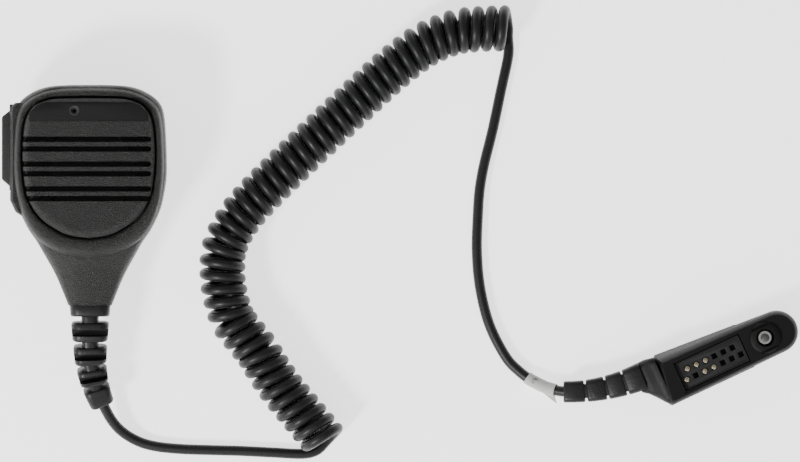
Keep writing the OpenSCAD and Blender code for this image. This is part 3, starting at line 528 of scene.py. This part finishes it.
WINDOW = [(-22, 27.4), (22, 27.4), (22, 30.5), (19.5, 33.2), (16.5, 34.4), (-16.5, 34.4),
          (-19.5, 33.2), (-22, 30.5)]
cut(panel, skin("Tool", [[(HEAD_X + x * 1.006, 30.9 + (y - 30.9) * 1.03, z) for x, y in WINDOW]
                         for z in (33.85, 36)]))
PORT = Vector((HEAD_X - 5.2, 31.3))
cut(panel, rod(PORT, 1.95, 28, 36))
painted(panel, panel_black)
smooth(panel, 32)
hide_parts("grille_panel")
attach(panel, "handset_and_cord")

# ---- Label window and microphone port ----
# A thin smooth insert in the panel's pocket, with a small flared metal ring over the capsule.
window_black = finish_of("Window plastic", (0.003, 0.003, 0.003), (0.007, 0.007, 0.007), 0.4, 1800, 0.02)
window = skin("Label_window", [[(HEAD_X + x * s, 30.9 + (y - 30.9) * s, z) for x, y in WINDOW]
                               for s, z in ((1, 33.92), (1, 34.5), (0.992, 34.66), (0.98, 34.7))])
cut(window, rod(PORT, 1.9, 28, 36))
painted(window, window_black)
smooth(window)
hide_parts("label_window")
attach(window, "handset_and_cord")
port_dark = finish_of("Port ring", (0.01, 0.01, 0.011), (0.05, 0.05, 0.05), 0.28, 2500, 0.01)
port = skin("Microphone_port", [
    [(PORT.x + r * math.cos(2 * math.pi * i / 32), PORT.y + r * math.sin(2 * math.pi * i / 32), z)
     for i in range(32)]
    for r, z in ((1.85, 32.2), (1.85, 34.6), (1.7, 34.75), (1.45, 34.7), (0.55, 33.4), (0.5, 32.2))],
    loop=True)
painted(port, port_dark)
smooth(port)
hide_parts("mic_port")
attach(port, "handset_and_cord")

# ---- Talk paddle and its frame ----
# The long paddle on the left side that is squeezed to talk, in a thin moulded frame.
paddle_black = finish_of("Paddle plastic", (0.005, 0.005, 0.005), (0.02, 0.0195, 0.019), 0.5, 1300, 0.12)
edge_black = finish_of("Frame plastic", (0.004, 0.004, 0.004), (0.014, 0.014, 0.014), 0.4, 1800, 0.04)


def copied(node, name, material, bevel=0.0, segments=3, angle=30):
    """A new piece that starts as a CAD node's shape, with its edges eased by this many mm."""
    mesh = cad_nodes[node].data.copy()
    mesh.name = name
    mesh.materials.clear()
    mesh.materials.append(material)
    mesh.polygons.foreach_set("material_index", [0] * len(mesh.polygons))
    work = bmesh.new()
    work.from_mesh(mesh)
    bmesh.ops.remove_doubles(work, verts=work.verts, dist=0.00001)
    bmesh.ops.dissolve_limit(work, angle_limit=0.02, verts=work.verts, edges=work.edges)
    bmesh.ops.recalc_face_normals(work, faces=work.faces)
    work.to_mesh(mesh)
    work.free()
    for attribute in [a.name for a in mesh.attributes if a.name in ("sharp_face", "custom_normal")]:
        mesh.attributes.remove(mesh.attributes[attribute])
    piece = add_object(name, mesh)
    if bevel:
        ease = piece.modifiers.new("Ease", "BEVEL")
        ease.width = bevel * MM
        ease.segments = segments
        ease.limit_method = "ANGLE"
        ease.angle_limit = math.radians(angle)
        ease.use_clamp_overlap = True
        settle(piece)
    smooth(piece, 40)
    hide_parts(node)
    return piece


paddle = copied("ptt_paddle", "Talk_paddle", paddle_black, 0.7, 4)
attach(paddle, "ptt")
paddle_frame = copied("ptt_frame", "Paddle_frame", edge_black, 0.2, 2)
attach(paddle_frame, "handset_and_cord")

# ---- Handset strain relief ----
# A flexible moulded boot: blocks on a slim core, the middle three with a slot across the front,
# getting smaller towards the cord.
rubber = finish_of("Boot rubber", (0.003, 0.003, 0.003), (0.008, 0.008, 0.008), 0.36, 1100, 0.05)


def boot_frame(s):
    """Place, sideways and upward directions of the boot at this distance from the case."""
    i = min(int(s / BOOT_STEP), 78)
    place = boot_line[i].lerp(boot_line[i + 1], min(1, s / BOOT_STEP - i))
    ahead = boot_heading(s)
    side = Vector((math.cos(boot_turn(s)), math.sin(boot_turn(s)), 0))
    return place, side, ahead.cross(side).normalized()


def round_box(place, side, up, width, height, corner):
    """A rounded rectangle across the boot, as a ring of points."""
    ring = []
    for sx, sy, turn in ((1, 1, 0), (-1, 1, 90), (-1, -1, 180), (1, -1, 270)):
        for step in range(6):
            a = math.radians(turn + step * 18)
            ring.append(place + side * (sx * (width / 2 - corner) + corner * math.cos(a))
                        + up * (sy * (height / 2 - corner) + corner * math.sin(a)))
    return ring


def boot_blocks(name, spans, frame_at, width_at, flat, round_by, ease):
    """The blocks of a boot as one mesh, each a rounded box bent along the boot, ends eased."""
    made = None
    for a, b in spans:
        rings = []
        for s, cutback in ((a, ease), (a + 0.3 * ease, ease * 0.4), (a + ease, 0), ((a + b) / 2, 0),
                           (b - ease, 0), (b - 0.3 * ease, ease * 0.4), (b, ease)):
            place, side, up = frame_at(s)
            w = width_at(s)
            rings.append(round_box(place, side, up, w - cutback * 1.4, w * flat - cutback * 1.4,
                                   w * flat * round_by))
        piece = skin("Block", rings)
        made = piece if made is None else cut(made, piece, "UNION")
    made.name = name
    return made


def boot_width(s):
    return 15.2 - 6.1 * s / BOOT_LENGTH


BOOT_SPANS = [(0.05, 4.9), (6.9, 13.8), (15.9, 22.4), (24.5, 30.4), (32.3, BOOT_LENGTH)]
boot = boot_blocks("Head_boot", BOOT_SPANS, boot_frame, boot_width, 0.82, 0.3, 0.8)
core = []
for i in range(40):
    place, side, up = boot_frame(i)
    w = boot_width(i)
    core.append(round_box(place, side, up, 6.4 - i * 0.02, w * 0.82 - 1.3, 2.2))
cut(boot, skin("Core", core), "UNION")
stem = [[(HEAD_X + r * math.cos(math.radians(15 * i)), y, BOOT_Z + r * math.sin(math.radians(15 * i)))
         for i in range(24)] for r, y in ((4.8, -40.8), (4.8, -38.3))]
cut(boot, skin("Stem", stem), "UNION")
for a, b in BOOT_SPANS[1:4]:
    s = (a + b) / 2
    place, side, up = boot_frame(s)
    w = boot_width(s)
    ahead = boot_heading(s)
    corners = []
    for z in (w * 0.41 - 3.7, w * 0.41 + 1):
        corners.append([place + side * (x * w * 0.6) + ahead * (y * 1.35) + up * z
                        for x, y in ((-1, -1), (1, -1), (1, 1), (-1, 1))])
    cut(boot, skin("Tool", corners))
painted(boot, rubber)
smooth(boot, 40)
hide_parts("head_boot")
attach(boot, "handset_and_cord")

# ---- Cord label ----
# A paper tag wrapped once round the cord just before the plug, its tail folded to a point.
paper = finish_of("Tag paper", (0.36, 0.36, 0.35), (0.5, 0.5, 0.485), 0.7, 2200, 0.02, slow=0.3)
tag_line = even_steps(curve_through([(165, -68.3, 2.2), (166.6, -69.3, 2.4), (171.8, -71.9, 3.2),
                                     (175.6, -73, 4.3)], 8), 1.0)
rings = []
for radius in (2.06, 2.4):
    loop_rings = []
    for i, p in enumerate(tag_line):
        ahead = (tag_line[min(i + 1, len(tag_line) - 1)] - tag_line[max(i - 1, 0)]).normalized()
        side = ahead.cross(Vector((0, 0, 1))).normalized()
        up = side.cross(ahead)
        loop_rings.append([p + radius * (side * math.cos(2 * math.pi * k / 24)
                                         + up * math.sin(2 * math.pi * k / 24)) for k in range(24)])
    rings += loop_rings if radius < 2.1 else loop_rings[::-1]
tag = skin("Cord_label", rings, loop=True)
flag_root = tag_line[len(tag_line) // 3:]
flag = []
for lift in (0, 0.25):
    edge = [p + Vector((-0.25, -1.6, lift - 1.2)) for p in flag_root]
    flag.append(edge + [flag_root[-1] + Vector((0.6, -5.2, lift - 2.2))])
flag_piece = skin("Flag", flag)
cut(tag, flag_piece, "UNION")
ink = finish_of("Tag ink", (0.02, 0.02, 0.02), (0.06, 0.06, 0.06), 0.6, 2200, 0.01)
mark = tag_line[len(tag_line) // 4] + Vector((0.25, 0.2, 2.36))
for radius, thick in ((1.15, 0.16), (0.55, 0.14)):
    ring = skin("Mark", [[(mark.x + r * math.cos(math.radians(15 * k)),
                           mark.y + r * math.sin(math.radians(15 * k)),
                           mark.z + z - 0.12 * r * r) for k in range(24)]
                         for r, z in ((radius, -0.2), (radius, 0.12), (radius - thick, 0.12),
                                      (radius - thick, -0.2))], loop=True)
    painted(ring, ink)
    ring.name = "Tag_mark" if radius > 1 else "Tag_dot"
    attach(ring, "handset_and_cord")
painted(tag, paper)
smooth(tag)
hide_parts("cord_label")
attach(tag, "handset_and_cord")

# ---- Plug strain relief ----
# Four chunky blocks with narrow notches between them, flaring into the plug's moulded neck.
def plug_boot_frame(s):
    i = max(0, min(int(s / BOOT_STEP), PLUG_BOOT_STEPS - 1))
    t = s / BOOT_STEP - i
    place = plug_line[i] + (plug_line[i + 1] - plug_line[i]) * t
    reach = PLUG_BOOT_STEPS * BOOT_STEP
    turn = PLUG_BOOT_TURN * min(max(s, 0), reach) / reach
    side = Vector((math.sin(turn), -math.cos(turn), 0))
    return place, side, Vector((0, 0, 1))


def plug_boot_width(s):
    return 8 + 2.3 * (max(s, 0) / 27) ** 1.5


PLUG_BOOT_SPANS = [(-1.2, 6.6), (7.5, 14.4), (15.2, 21.6), (22.3, 29.3)]
plug_boot = boot_blocks("Plug_boot", PLUG_BOOT_SPANS, plug_boot_frame, plug_boot_width, 1, 0.22, 0.5)
core = []
for i in range(55):
    place, side, up = plug_boot_frame(i * 0.5)
    w = plug_boot_width(i * 0.5)
    core.append(round_box(place, side, up, w - 2.8, w - 0.6, 1.5))
cut(plug_boot, skin("Core", core), "UNION")
painted(plug_boot, rubber)
smooth(plug_boot, 40)
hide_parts("plug_boot")
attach(plug_boot, "handset_and_cord")

# ---- Plug ----
# The accessory plug: a long moulded housing with a flared neck, a screw boss at its nose, a
# carrier with sprung contacts in a sealed recess, and a separate back cover.
plug_black = finish_of("Plug plastic", (0.002, 0.002, 0.002), (0.004, 0.004, 0.004), 0.45, 1500, 0.03,
                       gloss=0.2)


def at_plug(u, v, z):
    return PLUG_AT + U * u + V * v + Vector((0, 0, z))


def plug_ring(inset, z, flare=3.2, start=-40.7, nose=True):
    """The plug's outline at one height: round at the nose, flared on one side at the cord's end."""
    if nose:
        turns = [math.radians(-90 + 180 * i / 24) for i in range(25)]
        tip = [(5 + (8 - inset) * math.cos(a), (8 - inset) * math.sin(a)) for a in turns]
    else:
        tip = [(-8, inset - 8.4), (-8, 8 - inset + flare * 0.29)]
    end_u = start + inset
    base = [(end_u + 0.8, 8 - inset + flare), (end_u, 7.2 - inset + flare), (end_u - 2, inset - 7.8),
            (end_u - 1.2, inset - 8.5)]
    return [at_plug(u, v, z) for u, v in tip + base]


housing = skin("Plug_housing", [plug_ring(i, z, flare) for i, z, flare in (
    (0.3, 9.3, 3.2), (0, 9.7, 3.2), (0, 11, 3.1), (0.3, 15.4, 1.6), (0.95, 16.9, 1.1), (1.5, 17.5, 1))])
cut(housing, skin("Lower", [plug_ring(0, z, nose=False) for z in (6.1, 10.5)]), "UNION")
neck = []
for u, v0, v1, z0, z1, corner in (
        (-50, 0.6, 11.2, 3.6, 13.2, 2.4), (-48, -0.9, 11.3, 3.6, 13.3, 2.4),
        (-46.4, -2.8, 11.4, 3.7, 13.6, 2.4), (-45, -4.6, 11.5, 4.3, 14.6, 2.4),
        (-43.8, -6.2, 11.4, 5, 15.8, 2.4), (-42.8, -7.3, 11.2, 5.8, 16.6, 2.4),
        (-41, -8.1, 10.9, 6.3, 17, 2.4)):
    neck.append(round_box(at_plug(u, (v0 + v1) / 2, (z0 + z1) / 2), V, Vector((0, 0, 1)),
                          v1 - v0, z1 - z0, corner))
cut(housing, skin("Neck", neck), "UNION")
cut(housing, turned("Boss", [(5.8, 16), (5.8, 18), (5.6, 18.35), (5.3, 18.5)], 48, PLUG_AT.xy), "UNION")
cut(housing, rod(PLUG_AT.xy, 3.2, 13.5, 20, 3.4))
cut(housing, rod(PLUG_AT.xy, 2.1, 5, 15))
for u0, u1, v0, v1, low in ((-35.25, -8.55, -5.65, 5.65, 7.4), (-36, -7.8, -6.4, -5.65, 17.1),
                            (-3.6, 3.6, 4.1, 5, 17.2), (-3.6, 3.6, -5, -4.1, 17.2)):
    base = [(u0, v0), (u1, v0), (u1, v1), (u0, v1)]
    cut(housing, skin("Tool", [[at_plug(u, v, z) for u, v in base] for z in (low, 20)]))
painted(housing, plug_black)
smooth(housing, 30)
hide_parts("plug_housing")
cover = skin("Plug_cover", [plug_ring(i, z, nose=False) for i, z in (
    (0.9, 0), (0.3, 0.25), (0, 0.8), (0, 5.7), (0.25, 5.95))])
painted(cover, plug_black)
smooth(cover, 30)
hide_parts("plug_cover")
for piece in (housing, cover):
    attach(piece, "handset_and_cord")
carrier_black = finish_of("Carrier plastic", (0.006, 0.006, 0.007), (0.014, 0.014, 0.015), 0.5, 1500, 0.02)
carrier = copied("plug_carrier", "Contact_carrier", carrier_black, 0.12, 2, 25)
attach(carrier, "handset_and_cord")
gold = finish_of("Gold plating", (0.32, 0.27, 0.18), (0.75, 0.68, 0.52), 0.2, 2600, 0.005, metal=1)
pin = turned("Pin", [(0.4, 0), (0.95, 0), (0.95, 3.1), (0.88, 3.3), (0.7, 3.35), (0.6, 3.3), (0.5, 3.4),
                     (0.42, 3.75), (0.28, 3.95), (0.12, 4)])
contacts_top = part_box("plug_contacts")[1].z / MM
contact_places = []
for row, fitted in ((-1.8, (0, 2, 3)), (1.8, (0, 1, 2))):
    for i in fitted:
        u = -21.9 + (i - 3) * 3.7 + (1.85 if row > 0 else 0)
        contact_places.append(PLUG_AT + U * u + V * row + Vector((0, 0, contacts_top - 4)))
contacts = repeated("Plug_contacts", pin, contact_places, gold)
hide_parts("plug_contacts")
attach(contacts, "handset_and_cord")
seal_rubber = finish_of("Seal rubber", (0.003, 0.003, 0.003), (0.01, 0.01, 0.01), 0.6, 1600, 0.03)
gasket = copied("plug_gasket", "Plug_gasket", seal_rubber, 0.2, 3, 25)
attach(gasket, "handset_and_cord")

# ---- Plug screw and knob ----
# A captive steel screw through the boss, turned by a fluted knob under the plug.
plug_steel = finish_of("Turned steel", (0.3, 0.3, 0.29), (0.62, 0.61, 0.58), 0.26, 2600, 0.01, metal=1)
dark_steel = finish_of("Dark nickel", (0.02, 0.02, 0.02), (0.13, 0.13, 0.13), 0.34, 2600, 0.01, metal=1)
shaft = copied("screw_shaft", "Plug_screw", dark_steel, 0.12, 2, 25)
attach(shaft, "thumbscrew")
knob = copied("screw_knob", "Screw_knob", plug_black, 0.25, 2, 25)
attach(knob, "thumbscrew")

# ---- Belt clip ----
# A sprung clip on the back that turns on its base: base, jaw, spring, and the screw that holds it.
clip_black = finish_of("Clip plastic", (0.005, 0.005, 0.0055), (0.02, 0.02, 0.02), 0.42, 1400, 0.06)
for node, name, body, material, slot_name, bevel in (
        ("clip_base", "Clip_base", "clip_swivel", clip_black, "case", 0.3),
        ("clip_jaw", "Clip_jaw", "clip_jaw", clip_black, "case", 0.4),
        ("clip_screw", "Clip_screw", "handset_and_cord", screw_steel, "screw_steel", 0.2),
        ("clip_spring", "Clip_spring", "clip_swivel", plug_steel, "steel", 0.0)):
    piece = copied(node, name, material, bevel, 3, 25)
    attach(piece, body)

# ---- Parts inside ----
# Speaker, board, switch, capsule, wires and seals keep their engineering shapes.
board_green = finish_of("Board laminate", (0.01, 0.07, 0.03), (0.02, 0.16, 0.07), 0.4, 700, 0.01)
inner_grey = finish_of("Inner plastic", (0.03, 0.03, 0.033), (0.09, 0.09, 0.095), 0.5, 1500, 0.04)
mesh_cloth = finish_of("Dust mesh", (0.006, 0.006, 0.006), (0.03, 0.03, 0.03), 0.7, 4200, 0.08)
cone_paper = finish_of("Cone paper", (0.01, 0.01, 0.009), (0.035, 0.033, 0.03), 0.8, 2400, 0.05)
red_wire = finish_of("Red wire", (0.25, 0.01, 0.01), (0.45, 0.03, 0.02), 0.4, 1200, 0.01)
yellow_wire = finish_of("Yellow wire", (0.5, 0.28, 0.02), (0.75, 0.5, 0.05), 0.4, 1200, 0.01)
switch_black = finish_of("Switch plastic", (0.01, 0.01, 0.01), (0.03, 0.03, 0.032), 0.4, 1500, 0.02)
KEPT = {
    "shell_gasket": seal_rubber, "speaker_gasket": seal_rubber, "ptt_gasket": seal_rubber,
    "mic_holder": seal_rubber, "dust_mesh": mesh_cloth, "speaker_frame": plug_steel,
    "speaker_magnet": screw_steel, "speaker_cone": cone_paper, "speaker_wires": red_wire,
    "circuit_board": board_green, "plug_board": switch_black, "board_screws": screw_steel,
    "mic_capsule": plug_steel, "ptt_carrier": inner_grey, "ptt_plunger": inner_grey,
    "ptt_switch": switch_black, "clip_washer": screw_steel, "clip_pin": plug_steel,
    "cord_tail": jacket, "plug_tail": jacket, "cord_clamp": screw_steel,
    "clamp_screws": screw_steel, "cord_wires": yellow_wire, "cover_screws": screw_steel,
    "screw_ring": plug_steel}
for node, material in KEPT.items():
    mesh = cad_nodes[node].data
    mesh.materials.clear()
    mesh.materials.append(material)
    mesh.polygons.foreach_set("material_index", [0] * len(mesh.polygons))

# ---- Floor and light ----
# A plain pale floor that glows a little, soft light brightest from the left, and two lamps.
floor = add_mesh("Floor", [(-3000, -3000, -0.05), (3000, -3000, -0.05), (3000, 3000, -0.05),
                           (-3000, 3000, -0.05)], faces=[(0, 1, 2, 3)])
floor_white = bpy.data.materials.new("Floor")
floor_white.use_nodes = True
tree = floor_white.node_tree
floor_shader = tree.nodes["Principled BSDF"]
floor_shader.inputs["Roughness"].default_value = 0.9
floor_shader.inputs["Specular IOR Level"].default_value = 0.0
floor_shader.inputs["Emission Color"].default_value = (1, 1, 1, 1)
floor_shader.inputs["Emission Strength"].default_value = 1.8
mottle = tree.nodes.new("ShaderNodeTexNoise")
mottle.inputs["Scale"].default_value = 2
pale = tree.nodes.new("ShaderNodeValToRGB")
pale.color_ramp.elements[0].color = (0.93, 0.93, 0.93, 1)
pale.color_ramp.elements[1].color = (0.97, 0.97, 0.97, 1)
tree.links.new(mottle.outputs["Fac"], pale.inputs["Fac"])
tree.links.new(pale.outputs["Color"], floor_shader.inputs["Base Color"])
painted(floor, floor_white)
world = bpy.data.worlds.new("Studio")
bpy.context.scene.world = world
world.use_nodes = True
tree = world.node_tree
sky = tree.nodes["Background"]
sky.inputs["Color"].default_value = (1, 1, 1, 1)
way = tree.nodes.new("ShaderNodeTexCoord")
parts = tree.nodes.new("ShaderNodeSeparateXYZ")
height = tree.nodes.new("ShaderNodeValToRGB")
for place, level in ((0.0, 0.8), (0.3, 1.0), (0.7, 1.0), (0.86, 0.06), (1.0, 0.02)):
    stop = height.color_ramp.elements[0] if place == 0 else height.color_ramp.elements.new(place)
    stop.color = (level, level, level, 1)
height.color_ramp.elements.remove(height.color_ramp.elements[-1])
turn = tree.nodes.new("ShaderNodeVectorMath")
turn.operation = "DOT_PRODUCT"
turn.inputs[1].default_value = (-0.75, -0.66, 0)
side = tree.nodes.new("ShaderNodeMapRange")
side.inputs["From Min"].default_value = -1
side.inputs["To Min"].default_value = 0.35
side.inputs["To Max"].default_value = 1.3
total = tree.nodes.new("ShaderNodeMath")
total.operation = "MULTIPLY"
tree.links.new(way.outputs["Generated"], parts.inputs["Vector"])
tree.links.new(parts.outputs["Z"], height.inputs["Fac"])
tree.links.new(way.outputs["Generated"], turn.inputs[0])
tree.links.new(turn.outputs["Value"], side.inputs["Value"])
tree.links.new(height.outputs["Color"], total.inputs[0])
tree.links.new(side.outputs["Result"], total.inputs[1])
tree.links.new(total.outputs[0], sky.inputs["Strength"])
for name, place, target, size, power in (
        ("Key", (-0.75, -0.85, 1.1), (0, -0.02, 0), 0.25, 26.0),
        ("Fill", (0.5, -0.9, 1.4), (0.2, 0, 0), 0.6, 2.0)):
    lamp = bpy.data.lights.new(name, "AREA")
    lamp.size = size
    lamp.energy = power
    lamp_object = add_object(name, lamp)
    lamp_object.location = place
    aim = Vector(target) - Vector(place)
    lamp_object.rotation_euler = aim.to_track_quat("-Z", "Y").to_euler()
